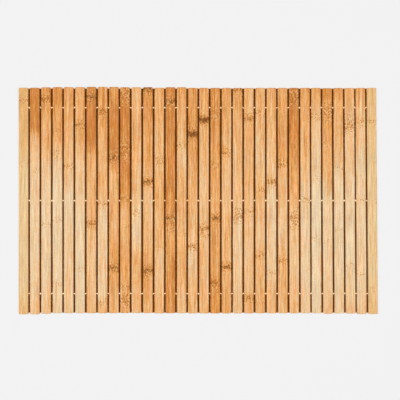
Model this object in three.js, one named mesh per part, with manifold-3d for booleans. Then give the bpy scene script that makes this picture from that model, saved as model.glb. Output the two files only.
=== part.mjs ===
// A slatted bamboo mat, about 80 x 50 cm, laid out flat.
//
// Thirty-two flat bamboo slats lie side by side with a narrow gap between them. Each slat is
// drilled through three times, from edge to edge, and three white elastic cords run through
// the drillings from one end of the mat to the other. A small knot in every gap keeps the
// slats apart, and a larger stopper knot sits in a counterbore in the outer edge of each end
// slat. The mat rolls up by bending at the cords.
//
// Millimetres. X runs across the slats, Y along them (far is +Y, near is -Y) and Z is up.
// The origin is the middle of the underside.

import * as THREE from 'three';
import { mergeVertices } from 'three/addons/utils/BufferGeometryUtils.js';
import Module from 'manifold-3d';

// Driving dimensions
const SLAT_COUNT = 32;
const SLAT_PITCH = 25;
const SLAT_GAP = 3.8;
const SLAT_WIDTH = SLAT_PITCH - SLAT_GAP;
const SLAT_LENGTH = 502;
const SLAT_THICKNESS = 9;
const CORNER_RADIUS = 2.5; // the slat's four corners, seen from above
const EDGE_ROUNDING = 1.5; // the sanded edges, top and bottom
const CORNER_STEPS = 2;
const EDGE_STEPS = 2;

const CORD_ROWS = { cord_far: 207, cord_middle: 0, cord_near: -207 };
const CORD_DIAMETER = 1.4;
const CORD_SIDES = 6;
const KNOT_DIAMETER = 3.8;
const CLEARANCE = 0.35; // between a knot and the wood on either side of it
const KNOT_SHOULDER = 0.8; // how far a knot takes to swell to its full diameter
const STOPPER_DIAMETER = 5;
const STOPPER_LENGTH = 3.8;
const STOPPER_SHOULDER = 1;

const HOLE_DIAMETER = 3;
const COUNTERBORE_DIAMETER = 6.4;
const COUNTERBORE_DEPTH = 4.5;
const HOLE_SIDES = 8;

// The slats are cut and strung by hand, so they don't line up at their ends and aren't quite
// evenly spaced. Each row is a run of slats, up to the one it names, with how far they stand
// out past the nominal length at either end and how far they sit to the right of their place.
const SLAT_RUNS = [
  { upTo: 2, far: 0, near: 2, right: 0 },
  { upTo: 3, far: 1, near: 1, right: 0.25 },
  { upTo: 5, far: 1.5, near: -0.5, right: 0.5 },
  { upTo: 6, far: 1.5, near: -0.5, right: 0.75 },
  { upTo: 9, far: 2, near: -0.5, right: 1 },
  { upTo: 10, far: 1.25, near: -0.75, right: 0.75 },
  { upTo: 11, far: 1.25, near: -0.75, right: 1.25 },
  { upTo: 12, far: 1.25, near: -0.75, right: 1.75 },
  { upTo: 13, far: 0, near: 0, right: 2 },
  { upTo: 15, far: 1.25, near: -0.5, right: 1.75 },
  { upTo: 19, far: -0.25, near: 0, right: 1.5 },
  { upTo: 21, far: -0.5, near: 0, right: 1.25 },
  { upTo: 24, far: -0.25, near: -0.25, right: 1.5 },
  { upTo: 26, far: -0.25, near: -0.25, right: 1.75 },
  { upTo: 27, far: -0.25, near: -0.25, right: 1.25 },
  { upTo: 28, far: -1, near: 1, right: 1.25 },
  { upTo: 30, far: -0.5, near: 0.25, right: 1.25 },
  { upTo: 32, far: -0.25, near: 1.5, right: 0.75 },
];

// The right end of the mat is splayed a little: from this slat on, each one is turned further
// about its middle than the one before, with its near end out to the right.
const SPLAY_FROM = 22;
const SPLAY_ANGLE = THREE.MathUtils.degToRad(0.42); // the last slat's

// Slats by tone. All the others are honey coloured.
const PALE_SLATS = [1, 4, 5, 6, 23, 26, 27, 29, 30, 31, 32];
const CARAMEL_SLATS = [2, 7, 9, 10, 14, 18, 25];

const CORD_HEIGHT = SLAT_THICKNESS / 2;
const HALF_SPAN = ((SLAT_COUNT - 1) * SLAT_PITCH) / 2;

const bambooPale = new THREE.MeshStandardMaterial({ color: '#ecd3a2', roughness: 0.5 });
const bambooHoney = new THREE.MeshStandardMaterial({ color: '#e9b777', roughness: 0.5 });
const bambooCaramel = new THREE.MeshStandardMaterial({ color: '#d8944f', roughness: 0.5 });
const elastic = new THREE.MeshStandardMaterial({ color: '#f2efe8', roughness: 0.85 });

const wasm = await Module();
wasm.setup();

function toSolid(geometry) {
  const bare = geometry.clone();
  bare.deleteAttribute('normal');
  bare.deleteAttribute('uv');
  const merged = mergeVertices(bare);
  const mesh = new wasm.Mesh({
    numProp: 3,
    vertProperties: new Float32Array(merged.attributes.position.array),
    triVerts: new Uint32Array(merged.index.array),
  });
  return new wasm.Manifold(mesh);
}

function toGeometry(solid) {
  const mesh = solid.getMesh();
  const geometry = new THREE.BufferGeometry();
  geometry.setAttribute('position', new THREE.BufferAttribute(mesh.vertProperties, 3));
  geometry.setIndex(new THREE.BufferAttribute(mesh.triVerts, 1));
  geometry.computeVertexNormals();
  return geometry;
}

function runOf(number) {
  return SLAT_RUNS.find((run) => number <= run.upTo);
}

function splayOf(number) {
  return (SPLAY_ANGLE * Math.max(0, number - SPLAY_FROM)) / (SLAT_COUNT - SPLAY_FROM);
}

// Where a slat's middle line is, along X, at a distance y along the slats.
function slatMiddle(number, y) {
  const middle = (number - 1) * SLAT_PITCH - HALF_SPAN + runOf(number).right;
  return middle - y * Math.tan(splayOf(number));
}

// The slat seen from above: a long rectangle with rounded corners.
function slatOutline(nearEnd, farEnd) {
  const half = SLAT_WIDTH / 2;
  const inset = half - CORNER_RADIUS;
  const low = nearEnd + CORNER_RADIUS;
  const high = farEnd - CORNER_RADIUS;
  const quarter = Math.PI / 2;
  const outline = new THREE.Shape();
  outline.absarc(inset, low, CORNER_RADIUS, -quarter, 0);
  outline.absarc(inset, high, CORNER_RADIUS, 0, quarter);
  outline.absarc(-inset, high, CORNER_RADIUS, quarter, 2 * quarter);
  outline.absarc(-inset, low, CORNER_RADIUS, 2 * quarter, 3 * quarter);
  outline.closePath();
  return outline;
}

// A slat's blank, with its edges rounded, standing on Z = 0.
function slatBlank(nearEnd, farEnd) {
  const blank = new THREE.ExtrudeGeometry(slatOutline(nearEnd, farEnd), {
    depth: SLAT_THICKNESS - 2 * EDGE_ROUNDING,
    curveSegments: CORNER_STEPS,
    bevelEnabled: true,
    bevelThickness: EDGE_ROUNDING,
    bevelSize: EDGE_ROUNDING,
    bevelOffset: -EDGE_ROUNDING,
    bevelSegments: EDGE_STEPS,
  });
  return blank.translate(0, 0, EDGE_ROUNDING);
}

// A drill that cuts along X, with its middle at x.
function drill(diameter, length, x, y) {
  const cutter = new THREE.CylinderGeometry(diameter / 2, diameter / 2, length, HOLE_SIDES);
  cutter.rotateY(Math.PI / HOLE_SIDES).rotateZ(Math.PI / 2);
  return cutter.translate(x, y, CORD_HEIGHT);
}

// outerSide is -1 for the slat at the left end of the mat, +1 for the right end, otherwise 0.
function slatGeometry(nearEnd, farEnd, outerSide) {
  let solid = toSolid(slatBlank(nearEnd, farEnd));
  for (const y of Object.values(CORD_ROWS)) {
    solid = solid.subtract(toSolid(drill(HOLE_DIAMETER, SLAT_WIDTH * 2, 0, y)));
    if (outerSide !== 0) {
      const edge = (outerSide * SLAT_WIDTH) / 2;
      solid = solid.subtract(
        toSolid(drill(COUNTERBORE_DIAMETER, COUNTERBORE_DEPTH * 2, edge, y)),
      );
    }
  }
  return toGeometry(solid);
}

// A knot's outline along the cord, as [distance along the cord, radius] pairs.
function knotProfile(middle, length, diameter, shoulder) {
  const cordRadius = CORD_DIAMETER / 2;
  const knotRadius = diameter / 2;
  const start = middle - length / 2;
  const end = middle + length / 2;
  return [
    [start, cordRadius],
    [start + shoulder, knotRadius],
    [end - shoulder, knotRadius],
    [end, cordRadius],
  ];
}

function stopperProfile(middle) {
  return knotProfile(middle, STOPPER_LENGTH, STOPPER_DIAMETER, STOPPER_SHOULDER);
}

// The elastic cord that crosses the slats at y, with all its knots, along the X axis.
function cordGeometry(y) {
  const stopperReach = SLAT_WIDTH / 2 - COUNTERBORE_DEPTH + CLEARANCE + STOPPER_LENGTH / 2;
  const profile = stopperProfile(slatMiddle(1, y) - stopperReach);
  for (let number = 1; number < SLAT_COUNT; number += 1) {
    const gapStart = slatMiddle(number, y) + SLAT_WIDTH / 2;
    const gapEnd = slatMiddle(number + 1, y) - SLAT_WIDTH / 2;
    const middle = (gapStart + gapEnd) / 2;
    const length = gapEnd - gapStart - 2 * CLEARANCE;
    profile.push(...knotProfile(middle, length, KNOT_DIAMETER, KNOT_SHOULDER));
  }
  profile.push(...stopperProfile(slatMiddle(SLAT_COUNT, y) + stopperReach));
  const first = profile[0][0];
  const last = profile[profile.length - 1][0];
  const closed = [[first, 0], ...profile, [last, 0]];
  const points = closed.map(([along, radius]) => new THREE.Vector2(radius, along));
  const lathed = new THREE.LatheGeometry(points, CORD_SIDES);
  return toGeometry(toSolid(lathed.rotateZ(-Math.PI / 2)));
}

function toneOf(number) {
  if (PALE_SLATS.includes(number)) return bambooPale;
  if (CARAMEL_SLATS.includes(number)) return bambooCaramel;
  return bambooHoney;
}

function makeSlat(number) {
  const ends = runOf(number);
  const nearEnd = -SLAT_LENGTH / 2 - ends.near;
  const farEnd = SLAT_LENGTH / 2 + ends.far;
  const outerSide = number === 1 ? -1 : number === SLAT_COUNT ? 1 : 0;
  const slat = new THREE.Mesh(slatGeometry(nearEnd, farEnd, outerSide), toneOf(number));
  slat.name = `slat_${String(number).padStart(2, '0')}`;
  slat.position.x = slatMiddle(number, 0);
  slat.rotation.z = splayOf(number);
  return slat;
}

function makeCord(name, y) {
  const cord = new THREE.Mesh(cordGeometry(y), elastic);
  cord.name = name;
  cord.position.set(0, y, CORD_HEIGHT);
  return cord;
}

const mat = new THREE.Group();
for (let number = 1; number <= SLAT_COUNT; number += 1) {
  mat.add(makeSlat(number));
}
for (const [name, y] of Object.entries(CORD_ROWS)) {
  mat.add(makeCord(name, y));
}

const centre = new THREE.Box3().setFromObject(mat).getCenter(new THREE.Vector3());
mat.position.set(-centre.x, -centre.y, 0);

export default mat;
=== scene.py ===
# %% [markdown]
# # A slatted bamboo mat
#
# The real mat is thirty-two bamboo laths strung side by side on three white elastic cords.
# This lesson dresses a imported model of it. The model holds every piece at its true size and
# place, so each step below reads a place from the model and builds the fine surface there:
# first the camera and the studio, then the bamboo, the laths, and last the knotted cords.

# %% The frame and its box
import math
import random

import bmesh
import bpy
from mathutils import Matrix, Vector, noise


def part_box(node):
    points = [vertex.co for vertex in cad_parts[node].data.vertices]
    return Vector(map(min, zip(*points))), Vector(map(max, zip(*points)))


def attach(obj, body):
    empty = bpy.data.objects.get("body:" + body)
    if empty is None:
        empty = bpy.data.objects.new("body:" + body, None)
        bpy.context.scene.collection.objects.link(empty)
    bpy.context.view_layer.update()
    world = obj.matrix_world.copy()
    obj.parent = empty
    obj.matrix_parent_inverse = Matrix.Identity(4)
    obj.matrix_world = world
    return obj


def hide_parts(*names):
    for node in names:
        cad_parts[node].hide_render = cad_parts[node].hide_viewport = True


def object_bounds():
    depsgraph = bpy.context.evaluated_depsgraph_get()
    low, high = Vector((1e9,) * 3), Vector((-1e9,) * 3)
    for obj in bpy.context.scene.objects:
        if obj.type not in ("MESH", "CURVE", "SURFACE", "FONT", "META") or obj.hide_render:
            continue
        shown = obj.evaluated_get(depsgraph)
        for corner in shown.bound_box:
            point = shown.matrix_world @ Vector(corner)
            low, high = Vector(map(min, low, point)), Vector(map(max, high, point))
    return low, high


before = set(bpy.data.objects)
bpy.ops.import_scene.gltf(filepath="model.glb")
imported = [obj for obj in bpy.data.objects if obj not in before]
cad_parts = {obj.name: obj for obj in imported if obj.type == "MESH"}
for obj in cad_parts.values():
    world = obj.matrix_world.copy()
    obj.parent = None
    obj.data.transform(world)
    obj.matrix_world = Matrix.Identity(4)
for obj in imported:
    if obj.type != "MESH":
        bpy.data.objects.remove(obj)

cad_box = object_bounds()
scene = bpy.context.scene
MM = 0.001
lath_nodes = sorted(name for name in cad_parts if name.startswith("slat_"))
cord_nodes = sorted(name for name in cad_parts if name.startswith("cord_"))
print("laths:", len(lath_nodes), "cords:", cord_nodes)

# %% [markdown]
# ## Camera
#
# The photograph looks straight down on the mat from above its middle. A picture of a flat
# thing taken square on keeps all its edges parallel, so the camera only needs the right
# distance and lens. From 2.2 metres the outer gaps show a little of the lath walls that
# face the middle, as they do in the photograph.

# %% A camera straight above the mat
CAMERA_HEIGHT = 2200 * MM
CAMERA_OFFSET = Vector((3.8, 1.3)) * MM
PHOTO_WIDTH_ON_MAT = 889 * MM
SENSOR = 36.0
NEAREST_SEEN = 10 * MM

lath_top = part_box(lath_nodes[0])[1].z
camera_data = bpy.data.cameras.new("camera")
camera_data.sensor_width = SENSOR
camera_data.lens = SENSOR * (CAMERA_HEIGHT - lath_top) / PHOTO_WIDTH_ON_MAT
camera_data.clip_start = NEAREST_SEEN
camera = bpy.data.objects.new("camera", camera_data)
camera.location = (CAMERA_OFFSET.x, CAMERA_OFFSET.y, CAMERA_HEIGHT)
scene.collection.objects.link(camera)
scene.camera = camera
print("lens:", round(camera_data.lens, 2), "mm")

# %% [markdown]
# ## Colours and nodes
#
# Colours are written as the hex values that a paint program shows. Blender's shaders work
# in linear light, so one function converts them. A second small function adds a node with
# its settings and links. It takes a whole node as an input too and then links that node's
# first working output, which keeps the material cells short enough to read as a recipe.

# %% Colours, nodes and empty materials
def linear(hex_code):
    """An sRGB hex colour as linear red, green, blue and alpha."""
    channels = []
    for start in (1, 3, 5):
        value = int(hex_code[start:start + 2], 16) / 255
        channels.append(value / 12.92 if value <= 0.04045 else ((value + 0.055) / 1.055) ** 2.4)
    return (*channels, 1.0)


def add(tree, kind, inputs=None, **settings):
    """Adds a node. Each input is a value, or a socket or a whole node to link from."""
    node = tree.nodes.new("ShaderNode" + kind)
    for name, value in settings.items():
        setattr(node, name, value)
    for name, value in (inputs or {}).items():
        if isinstance(value, bpy.types.Node):
            value = next(socket for socket in value.outputs if socket.enabled)
        if isinstance(value, bpy.types.NodeSocket):
            tree.links.new(value, node.inputs[name])
        else:
            node.inputs[name].default_value = value
    return node


def new_material(name):
    """An empty node material and its tree."""
    material = bpy.data.materials.new(name)
    material.use_nodes = True
    material.node_tree.nodes.clear()
    return material, material.node_tree


print("middle grey in linear light:", round(linear("#808080")[0], 3))

# %% [markdown]
# ## Studio
#
# A long soft light hangs on the mat's left and another on its right. Two nearly equal lights
# cancel each other's slant, so the laths are evenly bright and their rounded edges darken
# softly on both sides. They hang high, only 19 degrees off the vertical, so that they reach
# the white cord in each gap, and the bottom of the gap a little. An even sky fills in the
# rest. The colour transform is the plain one, so a surface's colour comes out as written.
#
# In the photograph the paper round the mat is an even pale grey without any shadow, as
# paper lit from below would be, and yet the gaps are dark brown right through. So the mat
# lies on a brown board, cut a little smaller than the mat, and its brown is painted shade:
# it stands for the shade at the bottom of the narrow gaps. A faintly glowing sheet of paper
# surrounds it, in which shadows almost vanish.

# %% Side lights and a faint sky
# Sizes and distances in metres, and the power of the left and the right light in watts.
LIGHT_SIZE = (1.1, 3.6)
LIGHT_DISTANCE = 4.0
LIGHT_ELEVATION = math.radians(71)
LIGHT_POWERS = {-1: 72.0, 1: 60.0}
SKY_STRENGTH = 0.30

scene.view_settings.view_transform = "Standard"
scene.view_settings.look = "None"

for side, power in LIGHT_POWERS.items():
    light = bpy.data.lights.new("side light", "AREA")
    light.shape = "RECTANGLE"
    light.size, light.size_y = LIGHT_SIZE
    light.energy = power
    lamp = bpy.data.objects.new("side light", light)
    reach = LIGHT_DISTANCE * math.cos(LIGHT_ELEVATION)
    lamp.location = (side * reach, 0, LIGHT_DISTANCE * math.sin(LIGHT_ELEVATION))
    lamp.rotation_euler = (-lamp.location).to_track_quat("-Z", "Y").to_euler()
    scene.collection.objects.link(lamp)
    print("light at", [round(v, 2) for v in lamp.location])

world = bpy.data.worlds.new("studio")
scene.world = world
world.use_nodes = True
sky = world.node_tree.nodes["Background"]
sky.inputs["Color"].default_value = (1.0, 1.0, 1.0, 1.0)
sky.inputs["Strength"].default_value = SKY_STRENGTH

# %% Paper with a board of painted shade in its middle
# The board's brown is painted shade: it stands for the shade at the bottom of the gaps.
PAINTED_SHADE_BOARD = "#784A1D"
PAPER = "#8A8A8C"
GLOW = 0.64
PAPER_SIZE = 14.0
TUCK = 3 * MM
SHEET_DROP = 0.05 * MM


def sheet(name, colour, glow, outline, window=None):
    """A flat sheet just under Z = 0."""
    material, tree = new_material(name)
    shader = add(tree, "BsdfPrincipled", {
        "Base Color": linear(colour), "Roughness": 0.9, "Specular IOR Level": 0.1,
        "Emission Color": (1.0, 1.0, 1.0, 1.0), "Emission Strength": glow})
    add(tree, "OutputMaterial", {"Surface": shader})
    corners = [(x, y, 0) for x, y in outline]
    faces = [(0, 1, 2, 3)]
    if window:
        corners += [(x, y, 0) for x, y in window]
        faces = [(i, (i + 1) % 4, 4 + (i + 1) % 4, 4 + i) for i in range(4)]
    mesh = bpy.data.meshes.new(name)
    mesh.from_pydata(corners, [], faces)
    mesh.materials.append(material)
    piece = bpy.data.objects.new(name, mesh)
    piece.location.z = -SHEET_DROP
    scene.collection.objects.link(piece)


def rectangle(low_x, low_y, high_x, high_y):
    """Four corners, anticlockwise from above."""
    return [(low_x, low_y), (high_x, low_y), (high_x, high_y), (low_x, high_y)]


low, high = cad_box
shade_board_outline = rectangle(low[0] + TUCK, low[1] + TUCK, high[0] - TUCK, high[1] - TUCK)
half = PAPER_SIZE / 2
sheet("painted shade board under the mat", PAINTED_SHADE_BOARD, 0.0, shade_board_outline)
sheet("paper round the mat", PAPER, GLOW, rectangle(-half, -half, half, half), shade_board_outline)
print("board:", [[round(v, 3) for v in corner] for corner in shade_board_outline])

# %% [markdown]
# ## How each lath is coloured
#
# Bamboo is cut into laths, steamed and lacquered. A stalk isn't one colour: it runs from
# cream to toffee, and the tone often changes where the stalk had a node, the joint between
# two hollow lengths. Planing leaves the node as a dark wavy line with flecks around it.
# These tables say, for each lath, where its tone changes and where its nodes are. They were
# written from enlarged views of the photograph, with a row's tones only at the places where a
# change shows. Distances are millimetres from the mat's middle, far end first.

# %% The tones of bamboo, from pale to dark
TONES = {
    "cream": 0.0,
    "pale": 0.17,
    "peach": 0.34,
    "honey": 0.52,
    "amber": 0.68,
    "caramel": 0.84,
    "toffee": 1.0,
}
TONE_COLOURS = {
    "cream": "#EFD6AE",
    "pale": "#F0CD9F",
    "peach": "#F2C18A",
    "honey": "#F1B473",
    "amber": "#E9A45C",
    "caramel": "#DF9546",
    "toffee": "#CC7A2E",
}

LATH_TONES = {
    1: "250 amber, 170 amber, 60 pale, -170 pale, -250 honey",
    2: "250 toffee, 170 toffee, 130 peach, 30 pale, -160 pale, -250 peach",
    3: "250 caramel, 200 amber, 140 honey, 60 pale, -190 pale, -250 peach",
    4: "250 caramel, 160 amber, 100 peach, 70 pale, -20 cream, -250 pale",
    5: "250 amber, 130 honey, 60 peach, 0 cream, -120 pale, -250 peach",
    6: "250 amber, 150 honey, 110 peach, 80 pale, -200 cream, -250 pale",
    7: "250 toffee, 130 toffee, 90 honey, 0 honey, -100 peach, -250 honey",
    8: "250 amber, 170 amber, 60 honey, -60 pale, -200 pale, -250 honey",
    9: "250 caramel, 150 toffee, 100 toffee, 50 honey, -60 honey, -140 amber, -250 honey",
    10: "250 caramel, 200 toffee, 80 toffee, 10 caramel, -30 honey, -130 amber, -250 amber",
    11: "250 honey, 60 honey, -70 pale, -140 honey, -250 honey",
    12: "250 caramel, 120 amber, 0 peach, -60 honey, -150 amber, -250 honey",
    13: "250 amber, 100 honey, -90 honey, -120 peach, -250 honey",
    14: "250 toffee, 90 toffee, -40 caramel, -80 amber, -170 caramel, -250 caramel",
    15: "250 amber, 160 honey, 90 peach, 0 honey, -130 honey, -250 peach",
    16: "250 caramel, 130 caramel, 50 amber, -60 honey, -110 peach, -250 honey",
    17: "250 amber, 120 honey, -50 peach, -140 honey, -250 honey",
    18: "250 caramel, 190 caramel, 60 amber, 0 honey, -100 amber, -250 caramel",
    19: "250 amber, 130 honey, 30 peach, -60 honey, -140 honey, -250 amber",
    20: "250 amber, 170 honey, 40 peach, -80 pale, -250 peach",
    21: "250 honey, 50 honey, -40 peach, -200 peach, -220 honey, -250 honey",
    22: "250 honey, 80 peach, 10 honey, -80 peach, -120 honey, -250 honey",
    23: "250 amber, 150 honey, 50 peach, 20 pale, -90 pale, -250 honey",
    24: "250 amber, 90 amber, 0 honey, -90 peach, -140 honey, -250 honey",
    25: "250 toffee, 110 caramel, 20 amber, -50 peach, -190 peach, -250 honey",
    26: "250 amber, 130 honey, 60 peach, -20 pale, -180 pale, -250 peach",
    27: "250 amber, 170 peach, 90 pale, 0 cream, -200 cream, -250 pale",
    28: "250 caramel, 190 amber, 60 honey, -20 pale, -150 pale, -250 peach",
    29: "250 caramel, 180 honey, 110 peach, 50 pale, -20 cream, -250 pale",
    30: "250 honey, 180 peach, 90 peach, 40 pale, -70 cream, -250 peach",
    31: "250 amber, 160 peach, 60 pale, -190 pale, -250 peach",
    32: "250 honey, 170 peach, 60 pale, -160 pale, -250 honey",
}
STRAW_LATHS = (1, 32)


def read_row(row):
    """A row of the tables above as a list of (distance, word) pairs."""
    pairs = [item.split() for item in row.split(",")]
    return [(float(distance), word) for distance, word in pairs]


tone_stops = {
    number: [(y, TONES[word]) for y, word in read_row(row)] for number, row in LATH_TONES.items()
}
print("tone stops:", sum(len(stops) for stops in tone_stops.values()))

# %% The nodes of each lath
# Each kind of node is how dark its band is, how many flecks lie round it, and how far the
# flecks reach, in millimetres.
NODE_KINDS = {
    "faint": (0.05, 0.35, 9.0),
    "soft": (0.18, 0.7, 12.0),
    "clear": (0.5, 0.9, 15.0),
    "dark": (0.95, 1.0, 17.0),
    "heavy": (1.5, 1.1, 20.0),
    "flecked": (0.2, 1.0, 28.0),
}

LATH_NODES = {
    1: "225 soft, 82 faint",
    2: "66 faint",
    3: "226 clear, -54 faint",
    4: "155 faint, 104 soft, -43 faint, -186 faint",
    5: "76 soft",
    6: "168 clear, -152 faint",
    7: "231 dark, -51 clear",
    8: "198 clear, -8 soft, -225 soft",
    9: "96 dark, -149 dark",
    10: "238 flecked, 110 flecked, 5 soft, -57 faint, -190 soft, -222 flecked",
    11: "-27 soft",
    12: "248 dark, 42 dark, -156 dark",
    13: "88 soft, -104 faint",
    14: "220 dark, -41 dark, -62 soft",
    15: "123 soft, -75 faint",
    16: "148 heavy, -102 clear",
    17: "180 heavy, -61 clear, -75 soft",
    18: "192 soft, 80 soft, -39 dark, -184 clear",
    19: "106 clear, -147 dark",
    20: "246 clear, -32 flecked",
    21: "182 clear, -24 soft, -215 clear",
    22: "197 soft, 24 soft, -122 soft, -225 faint",
    23: "42 clear, -158 faint",
    24: "82 clear, -134 soft",
    25: "234 flecked, -38 flecked",
    26: "2 soft",
    27: "185 soft, 50 faint, -85 faint",
    28: "198 flecked, 125 faint, -90 faint",
    29: "73 faint, -65 faint",
    30: "170 flecked, -143 faint",
    31: "173 soft, 0 faint, -162 faint",
    32: "176 soft, -4 faint, -198 faint",
}
lath_marks = {
    number: [(y, *NODE_KINDS[word]) for y, word in read_row(row)]
    for number, row in LATH_NODES.items()
}
print("nodes:", sum(len(marks) for marks in lath_marks.values()))

# %% [markdown]
# ## The bamboo material
#
# The laths are moso bamboo, some natural and some steamed until they brown. They are planed,
# sanded and lacquered. The eye reads bamboo by its fibres: thin straight streaks that run the
# whole length, darker where a bundle of fibres comes to the surface, and never knotted or
# curved as in a tree's wood. An image could show them, but noise needs none and never
# repeats, so every pattern here is a noise that is stretched along the lath. The mesh carries
# what the shader reads: a place measured along the lath itself, the tone there, and how far
# the nearest node is.
#
# A real fibre bundle is about half a millimetre wide. One pixel of the photograph is more
# than two millimetres, and its streaks are a pixel wide, so most of the streaks here are
# drawn as wide as that, four or five bundles together.

# %% The base tone with its fibre streaks
bamboo, tree = new_material("lacquered moso bamboo")
place = add(tree, "Attribute", attribute_name="lath_place").outputs["Vector"]
tone, distance, band_depth, fleck_depth, straw = (
    add(tree, "Attribute", attribute_name=name).outputs["Fac"]
    for name in ("tone", "node_distance", "node_band", "node_flecks", "straw"))


def grain(width, length, detail=2.0):
    """Noise in streaks of this width and length in millimetres, centred on 0."""
    scaled = add(tree, "VectorMath", {0: place, 1: (width, length, width)}, operation="DIVIDE")
    pattern = add(tree, "TexNoise", {
        "Vector": scaled, "Scale": 1.0, "Detail": detail, "Roughness": 0.55})
    return add(tree, "Math", {0: pattern, 1: 0.5}, operation="SUBTRACT")


# Width and length in millimetres, and strength: broad streaks, narrow ones, short dabs,
# specks and single fibres.
STREAKS = (
    (6.5, 190, 0.75),
    (2.4, 85, 1.2),
    (2.3, 16, 0.85),
    (2.2, 4.5, 0.35),
    (0.8, 45, 0.45),
)
tone_here = tone
for width, length, strength in STREAKS:
    tone_here = add(tree, "Math", {0: grain(width, length), 1: strength, 2: tone_here},
                    operation="MULTIPLY_ADD")

# The node's line wanders up and down, and the wood on both sides of it is darker.
WANDER_GRAIN_MM = (7.0, 60)
WANDER_MM = 11.0
HALO_START_MM = 2.0
HALO_END_MM = 15.0
HALO_TONE = 0.3

bent = add(tree, "Math", {0: grain(*WANDER_GRAIN_MM, detail=1.0), 1: WANDER_MM, 2: distance},
           operation="MULTIPLY_ADD")
away = add(tree, "Math", {0: bent}, operation="ABSOLUTE")
halo = add(tree, "MapRange", {
    "Value": away, "From Min": HALO_START_MM, "From Max": HALO_END_MM,
    "To Min": band_depth, "To Max": 0.0}, interpolation_type="SMOOTHSTEP")
tone_here = add(tree, "Math", {0: halo, 1: HALO_TONE, 2: tone_here}, operation="MULTIPLY_ADD")

ramp = add(tree, "ValToRGB", {"Fac": tone_here})
stops = ramp.color_ramp.elements
stops[0].position, stops[0].color = TONES["cream"], linear(TONE_COLOURS["cream"])
stops[1].position, stops[1].color = TONES["toffee"], linear(TONE_COLOURS["toffee"])
for word in ("pale", "peach", "honey", "amber", "caramel"):
    stop = stops.new(TONES[word])
    stop.color = linear(TONE_COLOURS[word])
print("ramp stops:", len(stops))

# %% Rosy and straw-coloured patches, and the dashes of the fibre bundles
ROSY = "#F2A47C"
STRAW = "#E6C486"
BUNDLE_BROWN = "#A8683A"
PATCH_MM = (4.5, 55)
BUNDLE_MM = (0.55, 28)


def lay_over(under, layers):
    """Colours laid over each other. Each row is a pattern, where it starts and ends, and
    then how strong the colour is at its end, and the colour."""
    for pattern, start, end, most, colour in layers:
        amount = add(tree, "MapRange", {
            "Value": pattern, "From Min": start, "From Max": end, "To Max": most})
        under = add(tree, "Mix", {"Factor": amount, "A": under, "B": colour}, data_type="RGBA")
    return under


patches = grain(*PATCH_MM)
coloured = lay_over(ramp, (
    (patches, 0.02, 0.22, 0.4, linear(ROSY)),
    (patches, -0.02, -0.22, 0.3, linear(STRAW)),
    (straw, 0.0, 1.0, 0.45, linear(STRAW)),
    (grain(*BUNDLE_MM, detail=1.0), 0.1, 0.24, 0.35, linear(BUNDLE_BROWN)),
))

# Streaks and specks that are lighter or darker without another hue: width, length, strength.
LIGHT_AND_DARK = ((2.3, 60, 0.8), (2.3, 3.4, 0.4))

brightness = 1.0
for width, length, strength in LIGHT_AND_DARK:
    brightness = add(tree, "Math", {0: grain(width, length), 1: strength, 2: brightness},
                     operation="MULTIPLY_ADD")
coloured = add(tree, "VectorMath", {0: coloured, "Scale": brightness}, operation="SCALE")
coloured = coloured.outputs["Vector"]
print("fibre bundles", BUNDLE_MM[0], "mm wide")

# %% The node bands and their flecks
# Round a node the fibre bundles twist up to the surface, and each shows as a small orange
# fleck, with paler wood between. A Voronoi texture scatters such flecks: its distance to the
# nearest scattered point is small inside a fleck, and the flecks are larger where the node is
# near, until they run together in its band. Real flecks are a millimetre or two across, and
# these are drawn a little coarser, so that the render shows them.
NODE_BROWN = "#7E4608"
BAND_BROWN = "#8E4C00"
BAND_TAN = "#C2740E"
FLECK_BROWN = "#B4640A"
FLECK_PALE = "#FFD692"
FLECK_MM = (3.1, 4.2)
FLECK_EDGE = 0.08
FRAY_MM = (0.8, 3.0)
FRAY = 1.3
LATH_SPACING = 60


def scatter(width, length, shift):
    """The distance to the nearest of many scattered points, with ragged fibrous outlines."""
    moved = add(tree, "VectorMath", {0: place, 1: (shift * width, shift * length, shift * width)})
    scaled = add(tree, "VectorMath", {0: moved, 1: (width, length, width)}, operation="DIVIDE")
    points = add(tree, "TexVoronoi", {"Vector": scaled, "Scale": 1.0})
    return add(tree, "Math", {0: grain(*FRAY_MM), 1: FRAY, 2: points}, operation="MULTIPLY_ADD")


def flecks_of(scattered, density, start, growth):
    """1 inside the flecks and 0 between them. They are larger where the density is higher."""
    size = add(tree, "Math", {0: density, 1: growth, 2: start}, operation="MULTIPLY_ADD")
    depth = add(tree, "Math", {0: size, 1: scattered}, operation="SUBTRACT")
    present = add(tree, "MapRange", {"Value": density, "From Min": 0.02, "From Max": 0.2})
    return add(tree, "MapRange", {
        "Value": depth, "From Min": -FLECK_EDGE, "From Max": FLECK_EDGE, "To Max": present})


# The band fades out over the same share of its own width, whether it is wide or narrow.
HALF_BAND_MM = 2.0
DARK_BAND_ADDS_MM = 3.4
BAND_CROWDS = 0.4

half_band = add(tree, "Math", {0: band_depth, 1: DARK_BAND_ADDS_MM, 2: HALF_BAND_MM},
                operation="MULTIPLY_ADD")
share_away = add(tree, "Math", {0: away, 1: half_band}, operation="DIVIDE")
band = add(tree, "MapRange", {
    "Value": share_away, "From Min": 0.3, "From Max": 1.4, "To Min": band_depth, "To Max": 0.0},
    interpolation_type="SMOOTHSTEP")
crowding = add(tree, "Math", {0: band, 1: BAND_CROWDS, 2: fleck_depth}, operation="MULTIPLY_ADD")
flecks = flecks_of(scatter(*FLECK_MM, shift=0.0), crowding, start=0.14, growth=0.3)
pips = flecks_of(scatter(*FLECK_MM, shift=31.7), crowding, start=0.2, growth=0.26)

# A heavy band has a round dark core that doesn't reach the lath's edges. Each lath's middle
# line lies on an even number of spacings, where a triangle wave of one spacing is 0.
MOTTLE_MM = (2.6, 3.2)
CORE_FADE_START_MM = 4.0
CORE_FADE_END_MM = 11.0

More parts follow.
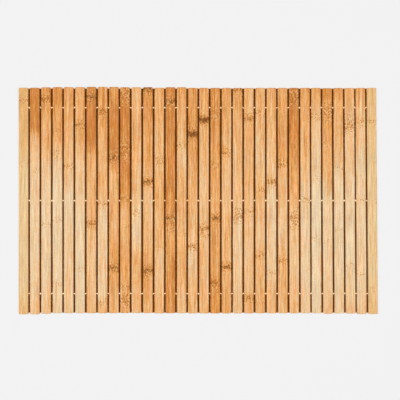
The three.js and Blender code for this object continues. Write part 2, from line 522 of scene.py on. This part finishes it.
place_across = add(tree, "SeparateXYZ", {"Vector": place}).outputs["X"]
from_middle = add(tree, "Math", {0: place_across, 1: LATH_SPACING}, operation="PINGPONG")
mottled = add(tree, "MapRange", {
    "Value": grain(*MOTTLE_MM), "From Min": -0.15, "From Max": 0.15, "To Min": 0.5})
rounded = add(tree, "MapRange", {
    "Value": from_middle, "From Min": CORE_FADE_START_MM, "From Max": CORE_FADE_END_MM,
    "To Min": mottled, "To Max": 0.0})
core = add(tree, "MapRange", {
    "Value": band, "From Min": 0.7, "From Max": 1.5, "To Max": rounded},
    interpolation_type="SMOOTHSTEP")

fleck_colour = lay_over(linear(FLECK_BROWN), ((band, 0.2, 0.7, 1.0, linear(BAND_BROWN)),))
marked = lay_over(coloured, (
    (band, 0.0, 1.5, 0.75, linear(BAND_TAN)),
    (pips, 0.0, 1.0, 0.6, linear(FLECK_PALE)),
    (flecks, 0.0, 1.0, 0.9, fleck_colour),
    (core, 0.0, 1.0, 1.0, linear(NODE_BROWN)),
))
print("bamboo nodes so far:", len(tree.nodes))

# %% Sawn ends, relief and lacquer
# Faces that turn towards the lath's ends, the sawn ends and the steep part of their rounding,
# are coloured darker. Lacquer and wood have an index of refraction of about 1.5. This coat is
# thin and satin, and in the photograph it shows no shine, so the shader's specular level is
# turned well down.
END_FACE_COLOUR = "#B98A55"
FIBRE_MM = (0.8, 45)
FIBRE_RELIEF = 0.05 * MM
NODE_RELIEF = 0.04 * MM

normal = add(tree, "NewGeometry").outputs["True Normal"]
slope = add(tree, "SeparateXYZ", {"Vector": normal}).outputs["Y"]
facing_end = add(tree, "Math", {0: slope}, operation="ABSOLUTE")
finished = lay_over(marked, ((facing_end, 0.75, 0.95, 0.6, linear(END_FACE_COLOUR)),))

fibres = grain(*FIBRE_MM)
relief = add(tree, "Math", {0: fibres, 1: FIBRE_RELIEF}, operation="MULTIPLY")
relief = add(tree, "Math", {0: flecks, 1: -NODE_RELIEF, 2: relief}, operation="MULTIPLY_ADD")
bump = add(tree, "Bump", {"Height": relief, "Strength": 0.7, "Distance": 1.0})
roughness = add(tree, "MapRange", {
    "Value": fibres, "From Min": -0.3, "From Max": 0.3, "To Min": 0.5, "To Max": 0.64})
shader = add(tree, "BsdfPrincipled", {
    "Base Color": finished,
    "Roughness": roughness,
    "Specular IOR Level": 0.12,
    "IOR": 1.5,
    "Normal": bump,
})
add(tree, "OutputMaterial", {"Surface": shader})
print("bamboo nodes:", len(tree.nodes))

# %% [markdown]
# ## The laths
#
# A lath is a planed strip with sanded edges and rounded corners. It could be a cube with a
# bevel, but a loft gives more control: one rounded section is repeated along the lath, and
# near the ends it shrinks along a quarter circle, in plan for the corners and in height for
# the sanded edge. The rows lie closer together at the nodes, where the lath is a hair
# thicker, and everywhere the edges wander a little, as hand-planed ones do.

# %% Where each lath lies
END_SLICE = 1 * MM


def lie_of(node_name):
    """Length, width, thickness and placing matrix of a lath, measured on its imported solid."""
    points = [v.co.copy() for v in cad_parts[node_name].data.vertices]
    low = min(p.y for p in points)
    high = max(p.y for p in points)
    far = [p.x for p in points if p.y > high - END_SLICE]
    near = [p.x for p in points if p.y < low + END_SLICE]
    far_middle = Vector(((min(far) + max(far)) / 2, high))
    near_middle = Vector(((min(near) + max(near)) / 2, low))
    run = far_middle - near_middle
    turn = -math.atan2(run.x, run.y)
    middle = (far_middle + near_middle) / 2
    placing = Matrix.Translation((middle.x, middle.y, 0)) @ Matrix.Rotation(turn, 4, "Z")
    unturned = [placing.inverted() @ p for p in points]
    width = max(p.x for p in unturned) - min(p.x for p in unturned)
    length = max(p.y for p in unturned) - min(p.y for p in unturned)
    return length, width, max(p.z for p in points), placing


length, width, thickness, placing = lie_of(lath_nodes[-1])
print("last lath:", [round(v / MM, 2) for v in (length, width, thickness)],
      "turned", round(math.degrees(placing.to_euler().z), 2), "degrees")

# %% A rounded section and its stations
SECTION_STEPS = 4
FLAT_SHARES = (0.25, 0.5, 0.75)
END_STATIONS_MM = (0, 0.12, 0.35, 0.7, 1.1, 1.5, 2.0, 2.6, 3.5)
NODE_STATIONS_MM = (-14, -9, -5, -2.5, 0, 2.5, 5, 9, 14)
STATION_STEP = 8 * MM
LEAST_STEP = 0.1 * MM


def rounded_section(half_width, half_height, radius):
    """Points round a rounded rectangle, anticlockwise seen from the near end."""
    corners = [(1, 1, 0), (-1, 1, 90), (-1, -1, 180), (1, -1, 270)]
    points = []
    for side_x, side_z, start in corners:
        for step in range(SECTION_STEPS + 1):
            angle = math.radians(start + 90 * step / SECTION_STEPS)
            points.append((
                side_x * (half_width - radius) + radius * math.cos(angle),
                side_z * (half_height - radius) + radius * math.sin(angle),
            ))
        # Points across the top and the underside let the top rise to a crown.
        if side_x * side_z > 0:
            corner_x, corner_z = points[-1]
            points += [(corner_x * (1 - 2 * share), corner_z) for share in FLAT_SHARES]
    return points


def stations_of(length, marks, middle_y):
    """Where the sections stand along the lath, from its near end to its far end."""
    half_length = length / 2
    stations = []
    for from_end in END_STATIONS_MM:
        stations += [-half_length + from_end * MM, half_length - from_end * MM]
    run = length - 2 * STATION_STEP
    count = int(run / STATION_STEP)
    stations += [-half_length + STATION_STEP + run * i / count for i in range(count + 1)]
    for mark_y, *_ in marks:
        stations += [mark_y * MM - middle_y + offset * MM for offset in NODE_STATIONS_MM]
    kept = []
    for station in sorted(s for s in stations if -half_length <= s <= half_length):
        if not kept or station - kept[-1] > LEAST_STEP:
            kept.append(station)
    return kept


print("points in a section:", len(rounded_section(1, 0.4, 0.1)))

# %% Lofting one lath
# Near the ends the sanded rounding takes at most ROUNDEST of half the section's height.
EDGE_RADIUS = 1.5 * MM
CORNER_RADIUS = 2.5 * MM
ROUNDEST = 0.95
TOP_CROWN = 0.12 * MM
NODE_SWELL = 0.12 * MM
SWELL_REACH_MM = 4.0
EDGE_WANDER = 0.16 * MM
WANDERS_PER_METRE = 14
LATH_SEED = 3.7
EDGE_SEEDS = (0, 40)


def end_inset(from_end, radius):
    """How far a quarter-circle end draws in, this far from the end."""
    if from_end >= radius:
        return 0.0
    return radius - math.sqrt(max(0.0, radius ** 2 - (radius - from_end) ** 2))


def swell(y, marks, middle_y):
    """How much thicker the lath is here, for the nodes nearby."""
    rise = 0.0
    for mark_y, band, *_ in marks:
        away = (y + middle_y) / MM - mark_y
        rise = max(rise, band * math.exp(-(away / SWELL_REACH_MM) ** 2))
    return NODE_SWELL * rise


def edge_wander(number, y):
    """How far the lath's right and left edges stray sideways, this far along it."""
    # This noise is 0 at whole numbers, so its third coordinate stays off them.
    return [
        EDGE_WANDER * noise.noise(Vector((number * LATH_SEED + seed, y * WANDERS_PER_METRE, 0.5)))
        for seed in EDGE_SEEDS
    ]


def loft_lath(number, length, width, thickness, marks, middle_y):
    """The lath's mesh about its own middle, with its underside flat on Z = 0."""
    mesh = bmesh.new()
    rings = []
    for y in stations_of(length, marks, middle_y):
        from_end = length / 2 - abs(y)
        right_wander, left_wander = edge_wander(number, y)
        half_width = width / 2 - end_inset(from_end, CORNER_RADIUS)
        half_height = thickness / 2 - end_inset(from_end, EDGE_RADIUS)
        radius = min(EDGE_RADIUS, half_height * ROUNDEST)
        ring = []
        for x, z in rounded_section(half_width, half_height, radius):
            across = x / (width / 2)
            x += right_wander if x > 0 else left_wander
            z += thickness / 2
            if z > thickness / 2:
                z += swell(y, marks, middle_y) - TOP_CROWN * across ** 2
            ring.append(mesh.verts.new((x, y, z)))
        rings.append(ring)
    for lower, upper in zip(rings, rings[1:]):
        for i in range(len(lower)):
            j = (i + 1) % len(lower)
            mesh.faces.new((lower[i], lower[j], upper[j], upper[i]))
    mesh.faces.new(rings[0][::-1])
    mesh.faces.new(rings[-1])
    bmesh.ops.recalc_face_normals(mesh, faces=mesh.faces)
    return mesh


trial = loft_lath(1, length, width, thickness, lath_marks[1], 0.0)
print("faces in a lath:", len(trial.faces))
trial.free()

# %% [markdown]
# ## Drilling
#
# Each lath is drilled from edge to edge for the three cords, and the two end laths are
# opened wider at their outer edge to take the stopper knot. The holes are real: a cutter
# made of joined cylinders goes through each lath with a Boolean modifier, which is applied.

# %% The drill
HOLE_RADIUS = 1.5 * MM
COUNTERBORE_RADIUS = 3.2 * MM
COUNTERBORE_DEPTH = 4.5 * MM
DRILL_SIDES = 24


def cylinder_along_x(mesh, radius, start_x, end_x, y, z):
    """Adds a closed cylinder to a bmesh."""
    middle = Matrix.Translation(((start_x + end_x) / 2, y, z))
    bmesh.ops.create_cone(
        mesh, cap_ends=True, segments=DRILL_SIDES, radius1=radius, radius2=radius,
        depth=abs(end_x - start_x), matrix=middle @ Matrix.Rotation(math.pi / 2, 4, "Y"))


def make_drill(width, thickness, rows, outer_side):
    """A cutter for one lath. outer_side is -1 or 1 for an end lath, otherwise 0."""
    mesh = bmesh.new()
    for y in rows:
        cylinder_along_x(mesh, HOLE_RADIUS, -width, width, y, thickness / 2)
    if outer_side:
        edge = outer_side * width / 2
        depth = outer_side * COUNTERBORE_DEPTH
        for y in rows:
            cylinder_along_x(
                mesh, COUNTERBORE_RADIUS, edge - depth, edge + depth, y, thickness / 2)
    data = bpy.data.meshes.new("drill")
    mesh.to_mesh(data)
    mesh.free()
    return bpy.data.objects.new("drill", data)


cord_rows = {name: (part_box(name)[0].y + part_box(name)[1].y) / 2 for name in cord_nodes}
print("cord rows:", {name: round(y / MM, 1) for name, y in cord_rows.items()})

# %% What the shader reads
# How dark a node's band is counts up to 20 mm from its line, and its flecks up to 1.15 times
# their reach. Where the nodes aren't close together, both have faded to 0 before the distance
# jumps over to the next node.
BAND_END_MM = 20
BAND_FADE_MM = 5
FLECK_END = 1.15
DISTANCE_LIMIT_MM = 30


def clamp(value, lowest, highest):
    """The value, or the nearer limit where it lies outside them."""
    return max(lowest, min(highest, value))


def tone_at(stops, y):
    """The tone between two stops, with y in millimetres and the far stops first."""
    if y >= stops[0][0]:
        return stops[0][1]
    for (upper, tone_a), (lower, tone_b) in zip(stops, stops[1:]):
        if y >= lower:
            share = (upper - y) / (upper - lower)
            share = share * share * (3 - 2 * share)
            return tone_a + (tone_b - tone_a) * share
    return stops[-1][1]


def write_reading(data, number, placing):
    """Stores the place along the lath, the tone and the nearest node on every vertex."""
    back = placing.inverted()
    names = ("tone", "node_distance", "node_band", "node_flecks", "straw")
    columns = {name: [] for name in names}
    places = []
    for vertex in data.vertices:
        y = vertex.co.y / MM
        own = back @ vertex.co / MM
        mark_y, band, flecks, reach = min(lath_marks[number], key=lambda m: abs(m[0] - y))
        away = y - mark_y
        values = (
            tone_at(tone_stops[number], y),
            clamp(away, -DISTANCE_LIMIT_MM, DISTANCE_LIMIT_MM),
            band * clamp((BAND_END_MM - abs(away)) / BAND_FADE_MM, 0.0, 1.0),
            flecks * clamp(FLECK_END - abs(away) / reach, 0.0, 1.0),
            float(number in STRAW_LATHS),
        )
        for name, value in zip(names, values):
            columns[name].append(value)
        places += (own.x + 2 * LATH_SPACING * number, own.y, own.z)
    for name in names:
        data.attributes.new(name, "FLOAT", "POINT").data.foreach_set("value", columns[name])
    spot = data.attributes.new("lath_place", "FLOAT_VECTOR", "POINT")
    spot.data.foreach_set("vector", places)


print("tone of lath 2 at 145 mm:", round(tone_at(tone_stops[2], 145), 2))

# %% The map for baking
# Each side's band of the square: where it starts and how high it is. The ends lie side by
# side in one band, and the walls of the drillings share another.
BAKE_BANDS = {
    "top": (0.005, 0.3),
    "underside": (0.315, 0.3),
    "right edge": (0.625, 0.13),
    "left edge": (0.765, 0.13),
    "end": (0.91, 0.05),
    "drilling": (0.975, 0.02),
}
BAKE_MARGIN = 0.02
END_WIDTH = 0.48
END_LIMIT = 0.8
FLAT_LIMIT = 0.5
ROOM_ACROSS = 1.03
ROOM_UP = 1.05
DRILLING_REACH = COUNTERBORE_RADIUS + 0.2 * MM


def side_of(normal, in_drilling):
    """Which side of the lath a face belongs to."""
    if in_drilling and abs(normal.x) < FLAT_LIMIT:
        return "drilling"
    if abs(normal.y) > END_LIMIT:
        return "end"
    if abs(normal.z) >= FLAT_LIMIT:
        return "top" if normal.z > 0 else "underside"
    return "right edge" if normal.x > 0 else "left edge"


def write_bake_map(data, length, width, thickness, placing):
    """A UV map with every side of the lath stretched over its own band of the square."""
    back = placing.inverted()
    rows = [y - placing.translation.y for y in cord_rows.values()]
    layer = data.uv_layers.new(name="OFBake")
    for face in data.polygons:
        normal = back.to_3x3() @ face.normal
        middle = back @ face.center
        from_rows = [math.hypot(middle.y - y, middle.z - thickness / 2) for y in rows]
        side = side_of(normal, min(from_rows) < DRILLING_REACH)
        start, height = BAKE_BANDS[side]
        for loop in face.loop_indices:
            p = back @ data.vertices[data.loops[loop].vertex_index].co
            along = BAKE_MARGIN + (1 - 2 * BAKE_MARGIN) * (p.y / length + 0.5)
            across = clamp(p.x / (width * ROOM_ACROSS) + 0.5, 0.0, 1.0)
            up = clamp(p.z / (thickness * ROOM_UP), 0.0, 1.0)
            if side == "end":
                along = (0.0 if normal.y < 0 else 0.5) + END_WIDTH * across
            rise = up if side in ("end", "right edge", "left edge") else across
            layer.data[loop].uv = (along, start + height * rise)


print("bands in the map:", list(BAKE_BANDS))

# %% Making all the laths
SHARP_ANGLE = math.radians(40)


def shade(piece):
    """Smooth shading with sharp edges past SHARP_ANGLE, and flat faces kept flat."""
    for face in piece.data.polygons:
        face.use_smooth = True
    piece.data.set_sharp_from_angle(angle=SHARP_ANGLE)
    weighted = piece.modifiers.new("weighted normals", "WEIGHTED_NORMAL")
    weighted.keep_sharp = True


def apply_modifiers(piece):
    """Replaces the piece's mesh by what its modifiers make of it."""
    made = bpy.data.meshes.new_from_object(
        piece.evaluated_get(bpy.context.evaluated_depsgraph_get()))
    piece.modifiers.clear()
    piece.data = made


laths = []
for number, node_name in enumerate(lath_nodes, start=1):
    length, width, thickness, placing = lie_of(node_name)
    middle_y = placing.translation.y
    outer_side = {1: -1, len(lath_nodes): 1}.get(number, 0)
    lofted = loft_lath(number, length, width, thickness, lath_marks[number], middle_y)
    data = bpy.data.meshes.new(f"bamboo_lath_{number:02d}")
    lofted.to_mesh(data)
    lofted.free()
    lath = bpy.data.objects.new(data.name, data)
    scene.collection.objects.link(lath)

    rows = [y - middle_y for y in cord_rows.values()]
    drill = make_drill(width, thickness, rows, outer_side)
    scene.collection.objects.link(drill)
    cut = lath.modifiers.new("drill", "BOOLEAN")
    cut.object = drill
    cut.solver = "EXACT"
    cut.use_self = bool(outer_side)
    apply_modifiers(lath)
    bpy.data.objects.remove(drill)

    lath.data.transform(placing)
    write_reading(lath.data, number, placing)
    write_bake_map(lath.data, length, width, thickness, placing)
    lath.data.materials.clear()
    lath.data.materials.append(bamboo)
    shade(lath)
    apply_modifiers(lath)
    lath.data.name = lath.name
    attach(lath, "root")
    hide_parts(node_name)
    laths.append(lath)
print("laths:", len(laths), "faces:", sum(len(lath.data.polygons) for lath in laths))

# %% [markdown]
# ## The cords
#
# The cords are braided white elastic, 1.4 mm thick. Between every two laths the cord is
# tied in a tight overhand knot that fills the gap. A knot can be drawn as a formula: an
# open trefoil, pulled short along the cord. Swept as one tube, the whole cord with its
# thirty-three knots is a single piece, as a real cord is.

# %% Braided elastic
# The elastic is white yarn braided round a rubber core: a matt white surface of small slanting
# plaits, with painted shade darkening the grooves between them. The cord also glows a faint
# warm colour, which is painted light added to what the lamps give.
ELASTIC_WHITE = "#FFF6DE"
GROOVE_PAINTED_SHADE = "#E9DDBF"
# Painted light: the cord gives off a faint warm glow of its own, though it is no lamp.
PAINTED_GLOW = "#FFD89C"
PAINTED_GLOW_STRENGTH = 0.32
BRAID_MM = 0.45
YARNS = 8
PLAIT_RELIEF = 0.06 * MM

elastic, tree = new_material("braided elastic cord")
uv = add(tree, "UVMap", uv_map="braid")
turns = add(tree, "SeparateXYZ", {"Vector": uv})
weave = []
for direction in (1, -1):
    winding = add(tree, "Math", {0: turns.outputs["Y"], 1: direction * YARNS * math.pi},
                  operation="MULTIPLY")
    slant = add(tree, "Math", {0: turns.outputs["X"], 1: 2 * math.pi / BRAID_MM, 2: winding},
                operation="MULTIPLY_ADD")
    weave.append(add(tree, "Math", {0: slant}, operation="SINE"))
plait = add(tree, "Math", {0: weave[0], 1: weave[1]}, operation="MAXIMUM")
braid_bump = add(tree, "Bump", {"Height": plait, "Strength": 0.5, "Distance": PLAIT_RELIEF})
# Painted shade: the colour darkens from the raised plaits down into the grooves between them.
raised = add(tree, "MapRange", {
    "Value": plait, "From Min": -0.2, "From Max": 0.8, "To Min": 0.4, "To Max": 1.0})
braid_with_painted_shade = add(tree, "Mix", {
    "Factor": raised, "A": linear(GROOVE_PAINTED_SHADE), "B": linear(ELASTIC_WHITE)}, data_type="RGBA")
shader = add(tree, "BsdfPrincipled", {
    "Base Color": braid_with_painted_shade,
    "Roughness": 0.8,
    "Normal": braid_bump,
    "Emission Color": linear(PAINTED_GLOW),
    "Emission Strength": PAINTED_GLOW_STRENGTH,
})
add(tree, "OutputMaterial", {"Surface": shader})
print("braid pitch:", BRAID_MM, "mm")

# %% The path of a cord through its knots
# A knot's spread sets how wide it is and its squeeze how long, and its roll turns it about
# the cord. The formula is an open trefoil's, drawn from -KNOT_REACH to KNOT_REACH.
CORD_RADIUS = 0.7 * MM
KNOT_STEPS = 34
KNOT_REACH = 1.85
KNOT_SPREADS_MM = (0.5, 0.72)
KNOT_SQUEEZE = 0.07 * MM
KNOT_LEAD = 2.6 * MM
STOPPER_SPREAD = 0.8 * MM
STOPPER_SQUEEZE = 0.13 * MM
STOPPER_ROLL = 0.6
TAIL = Vector((2.0, 0.0, -0.3)) * MM
random.seed(32)


def overhand_knot(middle, y, z, spread, squeeze, roll):
    """Points along an overhand knot tied in a cord that runs along X."""
    points = []
    for step in range(KNOT_STEPS + 1):
        t = KNOT_REACH * (2 * step / KNOT_STEPS - 1)
        across = (t ** 3 - 3 * t) * spread
        up = (t ** 4 - 4 * t ** 2 + 2) * spread
        along = (t ** 5 - 10 * t) * squeeze
        points.append(Vector((
            middle + along,
            y + across * math.cos(roll) - up * math.sin(roll),
            z + across * math.sin(roll) + up * math.cos(roll),
        )))
    return points


def edge_at(node_name, side, y):
    """The X of a lath's left edge, side -1, or right edge, side 1, where this cord crosses it."""
    length, width, thickness, placing = lie_of(node_name)
    return (placing @ Vector((side * width / 2, y - placing.translation.y, 0))).x


def cord_path(y, z):
    """The whole cord at this row, from stopper knot to stopper knot."""
    # The middle of each stopper knot is halfway down its counterbore.
    first = edge_at(lath_nodes[0], -1, y) + COUNTERBORE_DEPTH / 2
    last = edge_at(lath_nodes[-1], 1, y) - COUNTERBORE_DEPTH / 2
    path = [Vector((first, y, z)) - TAIL]
    path += overhand_knot(first, y, z, STOPPER_SPREAD, STOPPER_SQUEEZE, STOPPER_ROLL)
    for left, right in zip(lath_nodes, lath_nodes[1:]):
        middle = (edge_at(left, 1, y) + edge_at(right, -1, y)) / 2
        roll = random.uniform(0, 2 * math.pi)
        spread = random.uniform(*KNOT_SPREADS_MM) * MM
        path.append(Vector((middle - KNOT_LEAD, y, z)))
        path += overhand_knot(middle, y, z, spread, KNOT_SQUEEZE, roll)
        path.append(Vector((middle + KNOT_LEAD, y, z)))
    path += overhand_knot(last, y, z, STOPPER_SPREAD, STOPPER_SQUEEZE, STOPPER_ROLL)
    path.append(Vector((last, y, z)) + TAIL)
    return path


middle_path = cord_path(cord_rows["cord_middle"], lath_top / 2)
print("points in a cord:", len(middle_path))

# %% [markdown]
# A tube that follows a path needs a cross-section that doesn't spin on its way. Carrying the
# last section's direction on to the next one, and only bending it as far as the path bends,
# keeps the braid from twisting at each knot.

# %% Sweeping a tube along a path
CORD_SIDES = 10


def sweep(points, radius, sides):
    """A closed tube along the points, with a UV map in millimetres along and turns round."""
    mesh = bmesh.new()
    layer = mesh.loops.layers.uv.new("braid")
    tangents = []
    for i in range(len(points)):
        ahead = points[min(i + 1, len(points) - 1)]
        behind = points[max(i - 1, 0)]
        tangents.append((ahead - behind).normalized())
    side = tangents[0].orthogonal().normalized()
    rings = []
    travelled = 0.0
    lengths = []
    for i, point in enumerate(points):
        if i:
            travelled += (point - points[i - 1]).length
            bend = tangents[i - 1].rotation_difference(tangents[i])
            side = (bend @ side).normalized()
        up = tangents[i].cross(side)
        ring = []
        for k in range(sides):
            angle = 2 * math.pi * k / sides
            ring.append(mesh.verts.new(
                point + radius * (math.cos(angle) * side + math.sin(angle) * up)))
        rings.append(ring)
        lengths.append(travelled / MM)
    for i in range(len(rings) - 1):
        for k in range(sides):
            n = (k + 1) % sides
            face = mesh.faces.new((rings[i][k], rings[i][n], rings[i + 1][n], rings[i + 1][k]))
            face.smooth = True
            turn = ((i, k), (i, k + 1), (i + 1, k + 1), (i + 1, k))
            for loop, (row, column) in zip(face.loops, turn):
                loop[layer].uv = (lengths[row], column / sides)
    mesh.faces.new(rings[0][::-1])
    mesh.faces.new(rings[-1])
    bmesh.ops.recalc_face_normals(mesh, faces=mesh.faces)
    return mesh, travelled


for node_name in cord_nodes:
    swept, travelled = sweep(cord_path(cord_rows[node_name], lath_top / 2), CORD_RADIUS, CORD_SIDES)
    data = bpy.data.meshes.new(node_name.replace("cord", "elastic"))
    swept.to_mesh(data)
    swept.free()
    data.materials.append(elastic)
    cord = bpy.data.objects.new(data.name, data)
    scene.collection.objects.link(cord)
    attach(cord, "root")
    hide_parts(node_name)
    print(cord.name, "elastic used:", round(travelled, 2), "m, faces:", len(data.polygons))
